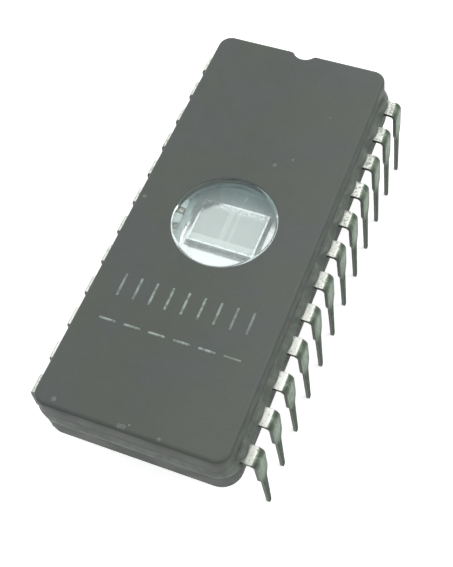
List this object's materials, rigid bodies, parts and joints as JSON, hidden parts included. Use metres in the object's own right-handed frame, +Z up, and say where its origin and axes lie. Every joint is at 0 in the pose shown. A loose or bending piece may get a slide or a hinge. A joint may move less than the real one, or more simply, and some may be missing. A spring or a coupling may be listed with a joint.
{
  "type": "windowed ceramic memory chip",
  "caption": "Ceramic dual in-line memory chip with a round clear window over its die, an index notch in one end and two rows of splayed, bent leads.",
  "frame": {"origin": "on the surface that the lead tips rest on, under the middle of the body", "axes": "+Y along the body towards the index notch, +X towards the row of leads 13 to 24, +Z up through the window"},
  "size_m": [0.0156, 0.032, 0.0085],
  "materials": {
    "base_ceramic": "matte",
    "lid_ceramic": "matte",
    "window_glass": "polished",
    "seal_glass": "gloss",
    "cavity_metal": "satin",
    "die_attach": "matte",
    "silicon": "polished",
    "tin_plate": "satin",
    "bond_wire": "satin"
  },
  "bodies": {
    "root": {"base": "base_ceramic", "lid": "lid_ceramic", "window_lens": "window_glass", "seal_glass": "seal_glass", "cavity_metal": "cavity_metal", "die_attach": "die_attach", "die": "silicon", "lead_01": "tin_plate", "lead_02": "tin_plate", "lead_03": "tin_plate", "lead_04": "tin_plate", "lead_05": "tin_plate", "lead_06": "tin_plate", "lead_07": "tin_plate", "lead_08": "tin_plate", "lead_09": "tin_plate", "lead_10": "tin_plate", "lead_11": "tin_plate", "lead_12": "tin_plate", "lead_13": "tin_plate", "lead_14": "tin_plate", "lead_15": "tin_plate", "lead_16": "tin_plate", "lead_17": "tin_plate", "lead_18": "tin_plate", "lead_19": "tin_plate", "lead_20": "tin_plate", "lead_21": "tin_plate", "lead_22": "tin_plate", "lead_23": "tin_plate", "lead_24": "tin_plate", "bond_wire_01": "bond_wire", "bond_wire_02": "bond_wire", "bond_wire_03": "bond_wire", "bond_wire_04": "bond_wire", "bond_wire_05": "bond_wire", "bond_wire_06": "bond_wire", "bond_wire_07": "bond_wire", "bond_wire_08": "bond_wire", "bond_wire_09": "bond_wire", "bond_wire_10": "bond_wire", "bond_wire_11": "bond_wire", "bond_wire_12": "bond_wire", "bond_wire_13": "bond_wire", "bond_wire_14": "bond_wire", "bond_wire_15": "bond_wire", "bond_wire_16": "bond_wire", "bond_wire_17": "bond_wire", "bond_wire_18": "bond_wire", "bond_wire_19": "bond_wire", "bond_wire_20": "bond_wire", "bond_wire_21": "bond_wire", "bond_wire_22": "bond_wire", "bond_wire_23": "bond_wire", "bond_wire_24": "bond_wire"}
  },
  "joints": []
}
